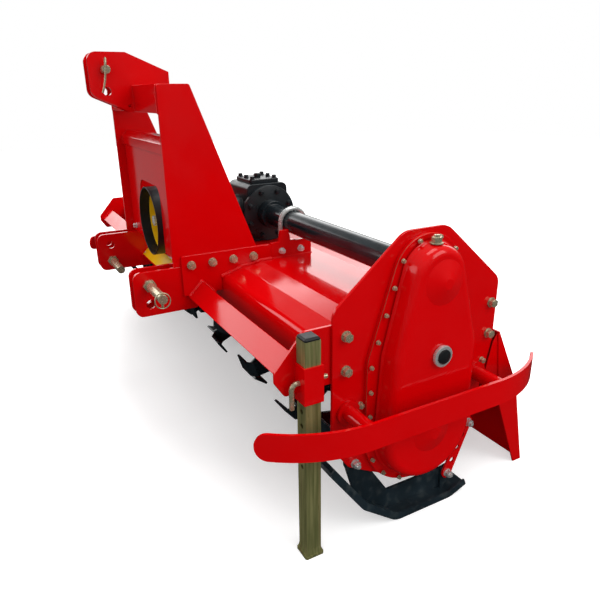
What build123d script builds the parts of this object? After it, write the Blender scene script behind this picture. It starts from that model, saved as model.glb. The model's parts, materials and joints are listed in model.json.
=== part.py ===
"""Rotary tiller for a three-point hitch, driven by a PTO shaft and a side chain.

+Z is up and the floor is z = 0.  The hitch faces -Y and the chain case is on +X.
Heights and depths below are measured from the frame's datum; save() moves each
piece to the middle of the overall box, on the floor.  All sizes are in millimetres.
"""
import os
from math import atan2, cos, degrees, hypot, radians, sin

from build123d import *

os.makedirs("parts", exist_ok=True)

# Working width, main axes and the fit between moving pieces
side_face_x = 1031.0
hitch_x = 78.0
side_plate_t = 8.0
drive_y = 85.0
ground_z = -20.0
rotor_axis_z = 254.0
tube_axis_z = 664.0
running_fit = 0.3

# Side plates
plate_half_depth = 260.0
plate_top_z = 775.0
plate_top_half = 65.0
plate_shoulder_z = 609.0
plate_waist_z = 430.0
plate_front_foot_z = 250.0
plate_front_cut = (209.0, 179.0)
plate_rear_foot = (205.0, 185.0)
plate_bottom_half = 65.0
plate_bottom_z = 100.0
plate_corner_r = 40.0
plate_crown_r = 60.0

# Chain case and its domed cover
case_top_r = 100.0
case_bottom_r = 168.0
case_shoulder_r = 110.0
case_shoulder_z = 450.0
case_body_t = 10.0
gasket_t = 1.5
cover_flange_t = 6.0
dome_inset = 28.0
dome_rise = 49.0
dome_draw = 18.0
dome_edge_r = 24.0
boss_r = 44.0
boss_tip_r = 9.0
boss_rise = 25.0
sight_plug_r = 28.0
sight_plug_t = 10.0
sight_plug_y = 12.0
sight_plug_z = 468.0
filler_seat_r = 12.0
filler_seat_rise = 8.0
filler_hex_r = 13.0
filler_hex_h = 16.0
filler_clearance = 4.0

# Hood sheet over the rotor, front lip to rear hinge
hood_t = 5.0
hood_front_y = -198.0
hood_skirt_z = 430.0
hood_lip_z = 529.0
hood_lip_r = 22.0
hood_front_crease = (-128.0, 551.0)
hood_rear_crease = (-60.0, 560.0)
hood_crest_half = 80.0
hood_crest_z = 562.0
hood_shelf = (215.0, 557.0)
hood_rear_y = 318.0
hood_rear_z = 486.0

# Rear door and its hinge
hinge_y = 338.0
hinge_z = 468.0
hinge_rod_r = 8.0
knuckle_r = 14.0
knuckle_length = 60.0
knuckle_pitch = 400.0
hood_knuckles = 5
door_t = 5.0
door_top = (24.0, -16.0)
door_bend = (102.0, -170.0)
door_knee = (129.0, -245.0)
door_toe_y = 524.0
door_overhang = 9.0
wing_t = 5.0
wing_depth = 76.0
wing_toe = 33.0

# Front bar, a square tube on edge, and the walls that close the ends of hood and bar
bar_y = -267.0
bar_z = 479.0
bar_half_diagonal = 45.0
bar_wall = 5.0
end_wall_t = 8.0
end_wall_top_z = 577.0
end_wall_foot_z = 428.0
end_wall_nose_y = -321.0
end_wall_nose_h = 25.0
end_wall_brow_y = -245.0
end_wall_chin_y = -296.0
end_wall_corner_r = 10.0

# Mast and the plates that bolt it to the bar and hood
mast_face_x = 315.0
mast_plate_t = 10.0
mast_front_y = -350.0
mast_rise = 440.0
mast_top_depth = 94.0
mast_foot_rear_y = -71.0
mast_corner_r = 8.0
bracket_t = 10.0
bracket_front_y = -326.0
bracket_rear_y = -22.0
bracket_top_z = 612.0
bracket_foot_z = 484.0
bracket_corner_r = 8.0
top_beam_h = 78.0
top_beam_t = 6.0
top_beam_return_h = 26.0
mid_beam_drop = 199.0
mid_beam_setback = 24.0
mid_beam_h = 50.0
mid_beam_depth = 50.0
mid_beam_t = 5.0
mid_beam_brow = 0.6
mid_beam_lap = 0.4
panel_t = 5.0
window_margin = 13.0
window_r = 48.0

# Upper hitch for the top link
top_plate_t = 10.0
top_gap = 52.0
top_hole_y = -427.0
top_hole_pitch = 62.0
top_hole_r = 12.75
top_pin_r = 12.5
top_pin_head_r = 19.0
top_crown_rise = 97.0
top_crown_edge = 51.0
top_nose_edge = 49.0
top_nose_foot = 12.0
top_chin_y = -362.0
top_brow_y = -361.0
top_heel_y = -229.0
top_heel_rise = 41.0
top_corner_r = 28.0
top_pin_tail = 28.0
top_pin_head_t = 9.0
chain_hole_r = 5.0
chain_hole_y = -363.0
chain_hole_rise = 18.0

# Lower hitch clevises and pins
clevis_gap = 40.0
clevis_plate_t = 10.0
clevis_nose_y = -475.0
clevis_foot_z = 437.0
clevis_top_z = 578.0
clevis_rear_y = -282.0
clevis_corner_r = 24.0
lower_pin_r = 14.0
lower_hole_r = 14.25
lower_hole_y = -428.0
lower_upper_hole_z = 536.0
lower_hole_pitch = 62.0
lower_pin_reach = 150.0
lower_pin_tail = 14.0
lower_nut_r = 20.0
lower_nut_t = 12.0

# Parking stand
leg_w = 40.0
leg_wall = 3.0
leg_top_z = 570.0
leg_y = -245.0
leg_cap_t = 8.0
leg_cap_corner_r = 4.0
leg_foot_h = 22.0
leg_foot_pad_t = 7.0
leg_foot_flare = 6.0
socket_wall = 5.0
socket_foot_z = 418.0
socket_h = 92.0
stand_pin_r = 6.0
stand_pin_z = 466.0
stand_hole_r = 6.6
stand_hole_pitch = 37.5
stand_holes_below = 6
stand_pin_tail = 22.0
stand_pin_nose = 19.0
stand_pin_bend_r = 14.0
stand_pin_handle = 62.0

# Gearbox, cross tubes and PTO input
gearbox_half_w = 85.0
gearbox_top_z = 770.0
gearbox_edge_r = 22.0
lid_t = 14.0
lid_inset = 18.0
side_flange_r = 92.0
side_flange_t = 15.0
nose_r = 62.0
nose_end_y = -205.0
tube_r = 38.0
tube_wall = 6.0
collar_r = 50.0
collar_t = 42.0
shield_r = 118.0
shield_wall = 6.0
shield_rim_y = -335.0
shield_eye_r = 28.0
liner_setback = 34.0
liner_t = 3.0
pto_r = 17.5
pto_front_y = -318.0
pto_seat_depth = 40.0
spline_count = 6
spline_depth = 2.6
spline_w = 8.5
spline_length = 76.0

# Plate in line with the drive-side foot bracket, and the U-bolt over the drive tube behind it
clamp_plate_t = 10.0
clamp_rear_y = 130.0
clamp_top_z = 614.0
clamp_tab_front_y = 7.0
clamp_tab_rear_y = 52.0
clamp_tab_taper = 8.0
clamp_tab_top_z = 652.0
ubolt_wire_r = 8.0
ubolt_setback = 38.0

# Rotor: tube, flanges and L-shaped blades
rotor_tube_r = 38.0
rotor_end_gap = 40.0
rotor_stub_r = 30.0
bearing_r = 70.0
bearing_t = 20.0
bearing_cap_r = 74.0
bearing_cap_rise = 26.0
blade_tip_r = 225.0
blade_t = 8.0
blade_w = 60.0
blade_reach = 95.0
blade_sweep = 22.0
blade_root_half_angle = 17.0
blade_bend = 20.0
blade_waist_w = 48.0
blade_end_gap = 12.0
blades_per_flange = 6
flange_r = 92.0
flange_t = 10.0
flange_count = 9
flange_twist = 23.0

# Side guards
guard_standoff = 120.0
guard_t = 8.0
guard_h = 70.0
guard_z = 343.0
guard_front_y = -132.0
guard_rear_y = 256.0
guard_front_r = 370.0
guard_rear_r = 333.0
guard_bend = 43.5
guard_end_flat = 2.0
guard_tube_r = 20.0
guard_base_r = 32.0
guard_base_t = 8.0
guard_front_tube_y = -130.0
guard_rear_tube_y = 289.0

# Skids and their height adjusters
skid_outer = 37.0
skid_inner = 41.0
skid_t = 8.0
skid_toe = (-203.0, 205.0)
skid_shin = (-100.0, 62.0)
skid_flat_front_y = 10.0
skid_flat_rear_y = 205.0
skid_tail = (262.0, 2.0)
skid_bend_r = 60.0
skid_rim_t = 6.0
skid_rim_h = 20.0
skid_web_t = 8.0
skid_web_h = 72.0
skid_pivot = (-105.0, 185.0)
skid_pivot_r = 26.0
adjuster_t = 6.0
adjuster_w = 34.0
adjuster_top = (276.0, 190.0)
adjuster_foot = (214.0, 40.0)
adjuster_hole_r = 8.0
adjuster_holes = 3

# Levels and faces that follow from the sizes above
side_inner_x = side_face_x - side_plate_t
case_face_x = side_face_x + case_body_t
gasket_face_x = case_face_x + gasket_t
cover_face_x = gasket_face_x + cover_flange_t
dome_face_x = cover_face_x + dome_rise
plate_front_y = drive_y - plate_half_depth
plate_rear_y = drive_y + plate_half_depth
mast_inner_x = mast_face_x - mast_plate_t
clevis_inner_x = mast_inner_x - clevis_gap - clevis_plate_t
end_wall_x = side_inner_x - end_wall_t
mast_top_z = tube_axis_z + mast_rise
mid_beam_z = mast_top_z - mid_beam_drop
top_beam_foot_z = mast_top_z - top_beam_h
top_crown_z = mast_top_z + top_crown_rise
top_pin_z = top_crown_z - top_crown_edge
top_spare_z = top_pin_z - top_hole_pitch
top_nose_y = top_hole_y - top_nose_edge
mid_beam_y = mast_front_y + mid_beam_setback
panel_front_y = mid_beam_y + mid_beam_t
flange_face_x = gearbox_half_w + side_flange_t
leg_x = side_inner_x + running_fit + leg_w / 2
socket_half = leg_w / 2 + running_fit
lower_spare_z = lower_upper_hole_z - lower_hole_pitch
guard_face_x = side_face_x + guard_standoff
skid_outer_x = side_face_x + skid_outer
skid_inner_x = side_face_x - skid_inner
rotor_tube_half = side_inner_x - rotor_end_gap
box_middle_y = (top_nose_y + door_toe_y) / 2


def save(block, name, middle_x=0):
    """Set a finished piece in the middle of the box, on the floor, and write its STEP file."""
    placed = Pos(middle_x, -box_middle_y, -ground_z) * block.part
    placed.label = name
    export_step(placed, f"parts/{name}.step")


def save_pair(block, name, middle_x=0):
    """Write a drive-side piece and its mirror twin on the far side."""
    save(block, name + "_drive", middle_x)
    with BuildPart() as twin:
        mirror(block.part, about=Plane.YZ)
    save(twin, name + "_far", middle_x)


def disc(y, z, radius, mode=Mode.ADD):
    """Circle in a side-view sketch."""
    with Locations((y, z)):
        Circle(radius, mode=mode)


def case_outline(inset):
    """Egg-shaped chain case outline, drawn in from its rim."""
    shoulder_y = case_bottom_r - case_shoulder_r
    disc(drive_y, tube_axis_z, case_top_r - inset)
    disc(drive_y, rotor_axis_z, case_bottom_r - inset)
    disc(drive_y - shoulder_y, case_shoulder_z, case_shoulder_r - inset)
    disc(drive_y + shoulder_y, case_shoulder_z, case_shoulder_r - inset)
    make_hull()


def bar_section(half_diagonal):
    """Square on edge, the front bar's section in a side-view sketch."""
    Polygon(
        (bar_y - half_diagonal, bar_z),
        (bar_y, bar_z - half_diagonal),
        (bar_y + half_diagonal, bar_z),
        (bar_y, bar_z + half_diagonal),
        align=None,
    )


def side_view(x):
    """Sketch plane at x with Y to the right and Z up; it extrudes towards +X."""
    return Plane.YZ.offset(x)


def front_view(y):
    """Sketch plane at y with X to the right and Z up; it extrudes towards -Y."""
    return Plane.XZ.offset(-y)


# Side plates, one each side of the rotor
with BuildPart() as side_plate:
    with BuildSketch(side_view(side_inner_x)) as side_outline:
        Polygon(
            (plate_front_y, plate_front_foot_z),
            (plate_front_y, plate_shoulder_z),
            (drive_y - plate_top_half, plate_top_z),
            (drive_y + plate_top_half, plate_top_z),
            (plate_rear_y, plate_shoulder_z),
            (plate_rear_y, plate_waist_z),
            (drive_y + plate_rear_foot[0], plate_rear_foot[1]),
            (drive_y + plate_bottom_half, plate_bottom_z),
            (drive_y - plate_bottom_half, plate_bottom_z),
            (drive_y - plate_front_cut[0], plate_front_cut[1]),
            align=None,
        )
        crown = side_outline.vertices().group_by(Axis.Y)[-1]
        fillet(side_outline.vertices() - crown, plate_corner_r)
        fillet(side_outline.vertices().group_by(Axis.Y)[-1], plate_crown_r)
    extrude(amount=side_plate_t)
save_pair(side_plate, "side_plate")

# Chain case rim on the drive plate, its gasket, and the domed cover bolted to it
with BuildPart() as chain_case:
    with BuildSketch(side_view(side_face_x)):
        case_outline(0)
    extrude(amount=case_body_t)
save(chain_case, "chain_case")

with BuildPart() as case_gasket:
    with BuildSketch(side_view(case_face_x)):
        case_outline(0)
    extrude(amount=gasket_t)
save(case_gasket, "case_gasket")

with BuildPart() as chain_cover:
    with BuildSketch(side_view(gasket_face_x)):
        case_outline(0)
    extrude(amount=cover_flange_t)
    with BuildSketch(side_view(cover_face_x)):
        case_outline(dome_inset)
    with BuildSketch(side_view(dome_face_x)):
        case_outline(dome_inset + dome_draw)
    loft(ruled=True)
    fillet(chain_cover.faces().sort_by(Axis.X)[-1].edges(), dome_edge_r)
    with BuildSketch(side_view(dome_face_x)):
        disc(drive_y, tube_axis_z, boss_r)
    with BuildSketch(side_view(dome_face_x + boss_rise)):
        disc(drive_y, tube_axis_z, boss_tip_r)
    loft()
    dome_top_z = tube_axis_z + case_top_r - dome_inset
    filler_x = cover_face_x + filler_hex_r + filler_clearance
    with BuildSketch(Plane.XY.offset(tube_axis_z)):
        with Locations((filler_x, drive_y)):
            Circle(filler_seat_r)
    extrude(amount=case_top_r - dome_inset + filler_seat_rise)
save(chain_cover, "chain_case_cover")

with BuildPart() as sight_plug:
    with BuildSketch(side_view(dome_face_x)):
        disc(drive_y + sight_plug_y, sight_plug_z, sight_plug_r)
    extrude(amount=sight_plug_t)
save(sight_plug, "sight_plug")

with BuildPart() as filler_plug:
    filler_z = dome_top_z + filler_seat_rise
    with BuildSketch(Plane.XY.offset(filler_z)):
        with Locations((filler_x, drive_y)):
            RegularPolygon(filler_hex_r, 6)
    extrude(amount=filler_hex_h)
save(filler_plug, "filler_plug")

# Hood: one bent sheet between the side plates, with hinge knuckles at its rear edge
knuckle_span = knuckle_pitch * (hood_knuckles - 1)
with BuildPart() as hood:
    with BuildSketch(side_view(-end_wall_x)):
        with BuildLine():
            FilletPolyline(
                (hood_front_y, hood_skirt_z),
                (hood_front_y, hood_lip_z),
                hood_front_crease,
                hood_rear_crease,
                (drive_y - hood_crest_half, hood_crest_z),
                (drive_y + hood_crest_half, hood_crest_z),
                hood_shelf,
                (hood_rear_y, hood_rear_z),
                radius=hood_lip_r,
            )
            offset(amount=hood_t, side=Side.RIGHT)
        make_face()
    extrude(amount=2 * end_wall_x)
    for place in range(hood_knuckles):
        knuckle_x = place * knuckle_pitch - knuckle_span / 2
        with BuildSketch(side_view(knuckle_x - knuckle_length / 2)):
            disc(hinge_y, hinge_z, knuckle_r)
            disc(hood_rear_y, hood_rear_z - hood_t / 2, hood_t / 2)
            make_hull()
        extrude(amount=knuckle_length)
    with BuildSketch(side_view(-end_wall_x)):
        disc(hinge_y, hinge_z, hinge_rod_r + running_fit)
    extrude(amount=2 * end_wall_x, mode=Mode.SUBTRACT)
save(hood, "hood")

with BuildPart() as hinge_rod:
    with BuildSketch(side_view(-end_wall_x)):
        disc(hinge_y, hinge_z, hinge_rod_r)
    extrude(amount=2 * end_wall_x)
save(hinge_rod, "hinge_rod")

# Rear door: bent sheet with a wing at each end, hung on the hinge rod
door_half_w = side_face_x + door_overhang
door_knuckles = hood_knuckles - 1
door_top_y = hinge_y + door_top[0]
door_top_z = hinge_z + door_top[1]
door_bend_y = hinge_y + door_bend[0]
door_bend_z = hinge_z + door_bend[1]
door_knee_y = hinge_y + door_knee[0]
door_knee_z = hinge_z + door_knee[1]
with BuildPart() as rear_door:
    with BuildSketch(side_view(-door_half_w)):
        with BuildLine():
            Polyline(
                (door_top_y, door_top_z),
                (door_bend_y, door_bend_z),
                (door_knee_y, door_knee_z),
                (door_toe_y, ground_z),
                (door_toe_y - door_t, ground_z),
                (door_knee_y - door_t, door_knee_z),
                (door_bend_y - door_t, door_bend_z),
                (door_top_y - door_t, door_top_z),
                close=True,
            )
        make_face()
    extrude(amount=2 * door_half_w)
    for wing_x in (-door_half_w, door_half_w - wing_t):
        with BuildSketch(side_view(wing_x)):
            Polygon(
                (door_top_y - door_t, door_top_z),
                (door_bend_y, door_bend_z),
                (door_knee_y, door_knee_z),
                (door_toe_y, ground_z),
                (door_toe_y - wing_toe, ground_z),
                (door_knee_y - wing_depth, door_knee_z),
                align=None,
            )
        extrude(amount=wing_t)
    for place in range(door_knuckles):
        knuckle_x = (place + 0.5) * knuckle_pitch - knuckle_span / 2
        with BuildSketch(side_view(knuckle_x - knuckle_length / 2)):
            disc(hinge_y, hinge_z, knuckle_r)
            disc(door_top_y - door_t / 2, door_top_z, door_t / 2)
            make_hull()
        extrude(amount=knuckle_length)
    with BuildSketch(side_view(-end_wall_x)):
        disc(hinge_y, hinge_z, hinge_rod_r + running_fit)
    extrude(amount=2 * end_wall_x, mode=Mode.SUBTRACT)
save(rear_door, "rear_door")

# Front bar through the mast feet, and the end walls of hood and bar
with BuildPart() as front_bar:
    with BuildSketch(side_view(-end_wall_x)):
        bar_section(bar_half_diagonal)
        with BuildSketch(mode=Mode.SUBTRACT):
            bar_section(bar_half_diagonal - bar_wall * 2**0.5)
    extrude(amount=2 * end_wall_x)
save(front_bar, "front_bar")

with BuildPart() as end_wall:
    with BuildSketch(side_view(end_wall_x)) as end_outline:
        Polygon(
            (end_wall_nose_y, bar_z - end_wall_nose_h / 2),
            (end_wall_nose_y, bar_z + end_wall_nose_h / 2),
            (end_wall_brow_y, end_wall_top_z),
            (hood_shelf[0], end_wall_top_z),
            (plate_rear_y, hood_rear_z),
            (plate_rear_y, plate_waist_z),
            (end_wall_chin_y, end_wall_foot_z),
            align=None,
        )
        fillet(end_outline.vertices(), end_wall_corner_r)
    extrude(amount=end_wall_t)
save_pair(end_wall, "end_wall")

# Mast sides and the brackets that bolt their feet to the bar and hood
with BuildPart() as mast_side:
    with BuildSketch(side_view(mast_inner_x)) as mast_outline:
        Polygon(
            (mast_front_y, clevis_top_z),
            (mast_front_y, mast_top_z),
            (mast_front_y + mast_top_depth, mast_top_z),
            (mast_foot_rear_y, bracket_top_z),
            (mast_foot_rear_y, clevis_top_z),
            align=None,
        )
        fillet(mast_outline.vertices().group_by(Axis.Y)[-1], mast_corner_r)
    extrude(amount=mast_plate_t)
save_pair(mast_side, "mast_side", hitch_x)

with BuildPart() as foot_bracket:
    with BuildSketch(side_view(mast_face_x)) as bracket_outline:
        Polygon(
            (bracket_front_y, bracket_foot_z),
            (bracket_front_y, bracket_top_z),
            (bracket_rear_y, bracket_top_z),
            (bracket_rear_y, hood_crest_z),
            hood_rear_crease,
            hood_front_crease,
            (hood_front_y, hood_lip_z),
            (hood_front_y, bracket_foot_z),
            align=None,
        )
        fillet(bracket_outline.vertices().group_by(Axis.Y)[-1], bracket_corner_r)
        with BuildSketch(mode=Mode.SUBTRACT):
            bar_section(bar_half_diagonal)
    extrude(amount=bracket_t)
save_pair(foot_bracket, "foot_bracket", hitch_x)

# Mast cross members
with BuildPart() as top_beam:
    with BuildSketch(side_view(-mast_inner_x)):
        with BuildLine():
            Polyline(
                (mast_front_y, top_beam_foot_z),
                (mast_front_y, mast_top_z),
                (mast_front_y + mast_top_depth, mast_top_z),
                (mast_front_y + mast_top_depth, mast_top_z - top_beam_return_h),
            )
            offset(amount=top_beam_t, side=Side.RIGHT, kind=Kind.INTERSECTION)
        make_face()
    extrude(amount=2 * mast_inner_x)
save(top_beam, "mast_top_beam", hitch_x)

with BuildPart() as mid_beam:
    with BuildSketch(side_view(-mast_inner_x)):
        with BuildLine():
            Polyline(
                (mid_beam_y, mid_beam_z),
                (mid_beam_y, mid_beam_z + mid_beam_h * mid_beam_brow),
                (mid_beam_y + mid_beam_depth * mid_beam_lap, mid_beam_z + mid_beam_h),
                (mid_beam_y + mid_beam_depth, mid_beam_z + mid_beam_h),
            )
            offset(amount=mid_beam_t, side=Side.RIGHT, kind=Kind.INTERSECTION)
        make_face()
    extrude(amount=2 * mast_inner_x)
save(mid_beam, "mast_mid_beam", hitch_x)

with BuildPart() as front_panel:
    panel_top_z = mid_beam_z + mid_beam_h * mid_beam_brow - mid_beam_t
    window_half = shield_r + window_margin
    window_h = tube_axis_z + window_half - clevis_top_z + window_r
    with BuildSketch(front_view(panel_front_y + panel_t)):
        with Locations((0, (panel_top_z + clevis_top_z) / 2)):
            Rectangle(2 * mast_inner_x, panel_top_z - clevis_top_z)
        with Locations((0, tube_axis_z + window_half - window_h / 2)):
            RectangleRounded(2 * window_half, window_h, window_r, mode=Mode.SUBTRACT)
    extrude(amount=panel_t)
save(front_panel, "mast_front_panel", hitch_x)

# Upper hitch: two plates on the top beam and the pin in their upper hole
with BuildPart() as top_plates:
    for plate_x in (-top_gap / 2 - top_plate_t, top_gap / 2):
        with BuildSketch(side_view(plate_x)) as top_outline:
            Polygon(
                (top_nose_y, top_spare_z - top_nose_foot),
                (top_nose_y, top_crown_z),
                (top_brow_y, top_crown_z),
                (top_heel_y, mast_top_z + top_heel_rise),
                (top_heel_y, mast_top_z),
                (mast_front_y, mast_top_z),
                (mast_front_y, top_beam_foot_z),
                (top_chin_y, top_beam_foot_z),
                align=None,
            )
            fillet(top_outline.vertices().group_by(Axis.X)[0], top_corner_r)
            disc(top_hole_y, top_pin_z, top_hole_r, Mode.SUBTRACT)
            disc(top_hole_y, top_spare_z, top_hole_r, Mode.SUBTRACT)
            disc(chain_hole_y, top_beam_foot_z + chain_hole_rise, chain_hole_r, Mode.SUBTRACT)
        extrude(amount=top_plate_t)
save(top_plates, "top_hitch_plates", hitch_x)

with BuildPart() as top_pin:
    top_pin_half = top_gap / 2 + top_plate_t + top_pin_tail
    with BuildSketch(side_view(-top_pin_half)):
        disc(top_hole_y, top_pin_z, top_pin_r)
    extrude(amount=2 * top_pin_half)
    with BuildSketch(side_view(-top_gap / 2 - top_plate_t - top_pin_head_t)):
        disc(top_hole_y, top_pin_z, top_pin_head_r)
    extrude(amount=top_pin_head_t)
save(top_pin, "top_link_pin", hitch_x)

# Lower hitch: a clevis of two plates at each mast foot, notched round the front bar
with BuildPart() as clevis:
    for plate_x in (clevis_inner_x, mast_inner_x):
        with BuildSketch(side_view(plate_x)) as clevis_outline:
            Polygon(
                (clevis_nose_y, clevis_foot_z),
                (clevis_nose_y, clevis_top_z),
                (clevis_rear_y, clevis_top_z),
                (clevis_rear_y, clevis_foot_z),
                align=None,
            )
            fillet(clevis_outline.vertices().group_by(Axis.X)[0], clevis_corner_r)
            with BuildSketch(mode=Mode.SUBTRACT):
                bar_section(bar_half_diagonal)
            disc(lower_hole_y, lower_upper_hole_z, lower_hole_r, Mode.SUBTRACT)
            disc(lower_hole_y, lower_spare_z, lower_hole_r, Mode.SUBTRACT)
        extrude(amount=clevis_plate_t)
save_pair(clevis, "clevis", hitch_x)


def lower_pin(start_x, hole_z):
    """Hitch pin with a head and a lock nut, lying along X in one hole of a clevis."""
    length = lower_pin_tail + clevis_gap + 2 * clevis_plate_t + lower_pin_reach
    with BuildPart() as pin:
        with BuildSketch(side_view(start_x - lower_pin_tail)):
            disc(lower_hole_y, hole_z, lower_pin_r)
        extrude(amount=length)
        with BuildSketch(side_view(start_x - lower_pin_tail)):
            disc(lower_hole_y, hole_z, lower_nut_r)
        extrude(amount=lower_pin_tail)
        with BuildSketch(side_view(start_x + clevis_gap + 2 * clevis_plate_t)):
            with Locations((lower_hole_y, hole_z)):
                RegularPolygon(lower_nut_r, 6)
        extrude(amount=lower_nut_t)
    return pin


save(lower_pin(clevis_inner_x, lower_upper_hole_z), "hitch_pin_drive", hitch_x)
save(lower_pin(-mast_face_x, lower_spare_z), "hitch_pin_far", hitch_x)

# Parking stand: socket on the drive-side end wall, leg, foot, cap and lock pin
with BuildPart() as stand_socket:
    with BuildSketch(Plane.XY.offset(socket_foot_z)):
        with Locations((leg_x + socket_wall / 2, leg_y)):
            Rectangle(2 * socket_half + socket_wall, 2 * (socket_half + socket_wall))
        with Locations((leg_x, leg_y)):
            Rectangle(2 * socket_half, 2 * socket_half, mode=Mode.SUBTRACT)
    extrude(amount=socket_h)
    with BuildSketch(front_view(leg_y + leg_w)):
        with Locations((leg_x, stand_pin_z)):
            Circle(stand_hole_r)
    extrude(amount=2 * leg_w, mode=Mode.SUBTRACT)
save(stand_socket, "stand_socket")

with BuildPart() as parking_leg:
    leg_tube_z = ground_z + leg_foot_h
    with BuildSketch(Plane.XY.offset(leg_tube_z)):
        with Locations((leg_x, leg_y)):
            Rectangle(leg_w, leg_w)
            Rectangle(leg_w - 2 * leg_wall, leg_w - 2 * leg_wall, mode=Mode.SUBTRACT)
    extrude(amount=leg_top_z - leg_tube_z)
    with BuildSketch(front_view(leg_y + leg_w)):
        for step in range(stand_holes_below + 1):
            with Locations((leg_x, stand_pin_z - step * stand_hole_pitch)):
                Circle(stand_hole_r)
    extrude(amount=2 * leg_w, mode=Mode.SUBTRACT)
save(parking_leg, "parking_leg")

with BuildPart() as leg_foot:
    pad_w = leg_w + 2 * leg_foot_flare
    with BuildSketch(Plane.XY.offset(ground_z)):
        with Locations((leg_x, leg_y)):
            RectangleRounded(pad_w, pad_w, leg_foot_flare)
    extrude(amount=leg_foot_pad_t)
    with BuildSketch(Plane.XY.offset(ground_z + leg_foot_pad_t)):
        with Locations((leg_x, leg_y)):
            Rectangle(leg_w + leg_foot_flare, leg_w + leg_foot_flare)
    with BuildSketch(Plane.XY.offset(leg_tube_z)):
        with Locations((leg_x, leg_y)):
            Rectangle(leg_w, leg_w)
    loft()
save(leg_foot, "leg_foot")

with BuildPart() as leg_cap:
    with BuildSketch(Plane.XY.offset(leg_top_z)):
        with Locations((leg_x, leg_y)):
            RectangleRounded(leg_w, leg_w, leg_cap_corner_r)
    extrude(amount=leg_cap_t)
    chamfer(leg_cap.faces().sort_by(Axis.Z)[-1].edges(), leg_cap_t / 2)
save(leg_cap, "leg_cap")

with BuildPart() as stand_pin:
    pin_front_y = leg_y - socket_half - socket_wall - stand_pin_nose
    pin_rear_y = leg_y + socket_half + socket_wall + stand_pin_tail
    with BuildLine() as pin_line:
        FilletPolyline(
            (leg_x, pin_rear_y, stand_pin_z),
            (leg_x, pin_front_y, stand_pin_z),
            (leg_x, pin_front_y, stand_pin_z - stand_pin_handle),
            radius=stand_pin_bend_r,
        )
    with BuildSketch(front_view(pin_rear_y)):
        with Locations((leg_x, stand_pin_z)):
            Circle(stand_pin_r)
    sweep(path=pin_line.wire())
save(stand_pin, "stand_pin")

# Gearbox on the hood, its lid, and the tubes that tie it to the side plates
with BuildPart() as gearbox:
    with BuildSketch(Plane.XY.offset(hood_crest_z)):
        box_depth = 2 * hood_crest_half
        with Locations((0, drive_y)):
            Rectangle(2 * gearbox_half_w, box_depth)
    extrude(amount=gearbox_top_z - hood_crest_z)
    fillet(gearbox.edges().filter_by(Axis.X).group_by(Axis.Z)[-1], gearbox_edge_r)
    with BuildSketch(side_view(-flange_face_x)):
        disc(drive_y, tube_axis_z, side_flange_r)
    extrude(amount=2 * flange_face_x)
    with BuildSketch(front_view(drive_y)):
        with Locations((0, tube_axis_z)):
            Circle(nose_r)
    extrude(amount=drive_y - nose_end_y)
    with BuildSketch(front_view(nose_end_y + pto_seat_depth)):
        with Locations((0, tube_axis_z)):
            Circle(pto_r + running_fit)
    extrude(amount=pto_seat_depth, mode=Mode.SUBTRACT)
save(gearbox, "gearbox", hitch_x)

with BuildPart() as gearbox_lid:
    with BuildSketch(Plane.XY.offset(gearbox_top_z)):
        with Locations((0, drive_y)):
            Rectangle(2 * (gearbox_half_w - lid_inset), 2 * (hood_crest_half - gearbox_edge_r))
    extrude(amount=lid_t)
    fillet(gearbox_lid.edges().filter_by(Axis.Z), lid_inset / 2)
save(gearbox_lid, "gearbox_lid", hitch_x)

for side, start_x, collar_x, end_x in (
    ("drive", hitch_x + flange_face_x, hitch_x + flange_face_x, side_inner_x),
    ("far", -side_inner_x, hitch_x - flange_face_x - collar_t, hitch_x - flange_face_x),
):
    with BuildPart() as cross_tube:
        with BuildSketch(side_view(start_x)):
            disc(drive_y, tube_axis_z, tube_r)
            disc(drive_y, tube_axis_z, tube_r - tube_wall, Mode.SUBTRACT)
        extrude(amount=end_x - start_x)
        with BuildSketch(side_view(collar_x)):
            disc(drive_y, tube_axis_z, collar_r)
            disc(drive_y, tube_axis_z, tube_r, Mode.SUBTRACT)
        extrude(amount=collar_t)
    save(cross_tube, "cross_tube_" + side)

# Plate and U-bolt that hold the drive tube down to the hood
with BuildPart() as clamp_bracket:
    with BuildSketch(side_view(mast_face_x)):
        Polygon(
            (bracket_rear_y, hood_crest_z),
            (bracket_rear_y, clamp_top_z),
            (clamp_tab_front_y, clamp_top_z),
            (clamp_tab_front_y + clamp_tab_taper, clamp_tab_top_z),
            (clamp_tab_rear_y - clamp_tab_taper, clamp_tab_top_z),
            (clamp_tab_rear_y, clamp_top_z),
            (clamp_rear_y, clamp_top_z),
            (clamp_rear_y, hood_crest_z),
            align=None,
        )
    extrude(amount=clamp_plate_t)
save(clamp_bracket, "clamp_bracket", hitch_x)

with BuildPart() as ubolt:
    ubolt_x = mast_face_x - ubolt_setback
    ubolt_half = tube_r + running_fit + ubolt_wire_r
    with BuildLine() as ubolt_line:
        Line((ubolt_x, drive_y - ubolt_half, hood_crest_z), (ubolt_x, drive_y - ubolt_half, tube_axis_z))
        ThreePointArc(
            (ubolt_x, drive_y - ubolt_half, tube_axis_z),
            (ubolt_x, drive_y, tube_axis_z + ubolt_half),
            (ubolt_x, drive_y + ubolt_half, tube_axis_z),
        )
        Line((ubolt_x, drive_y + ubolt_half, tube_axis_z), (ubolt_x, drive_y + ubolt_half, hood_crest_z))
    with BuildSketch(Plane.XY.offset(hood_crest_z)):
        with Locations((ubolt_x, drive_y - ubolt_half)):
            Circle(ubolt_wire_r)
    sweep(path=ubolt_line.wire())
save(ubolt, "tube_clamp", hitch_x)

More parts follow.
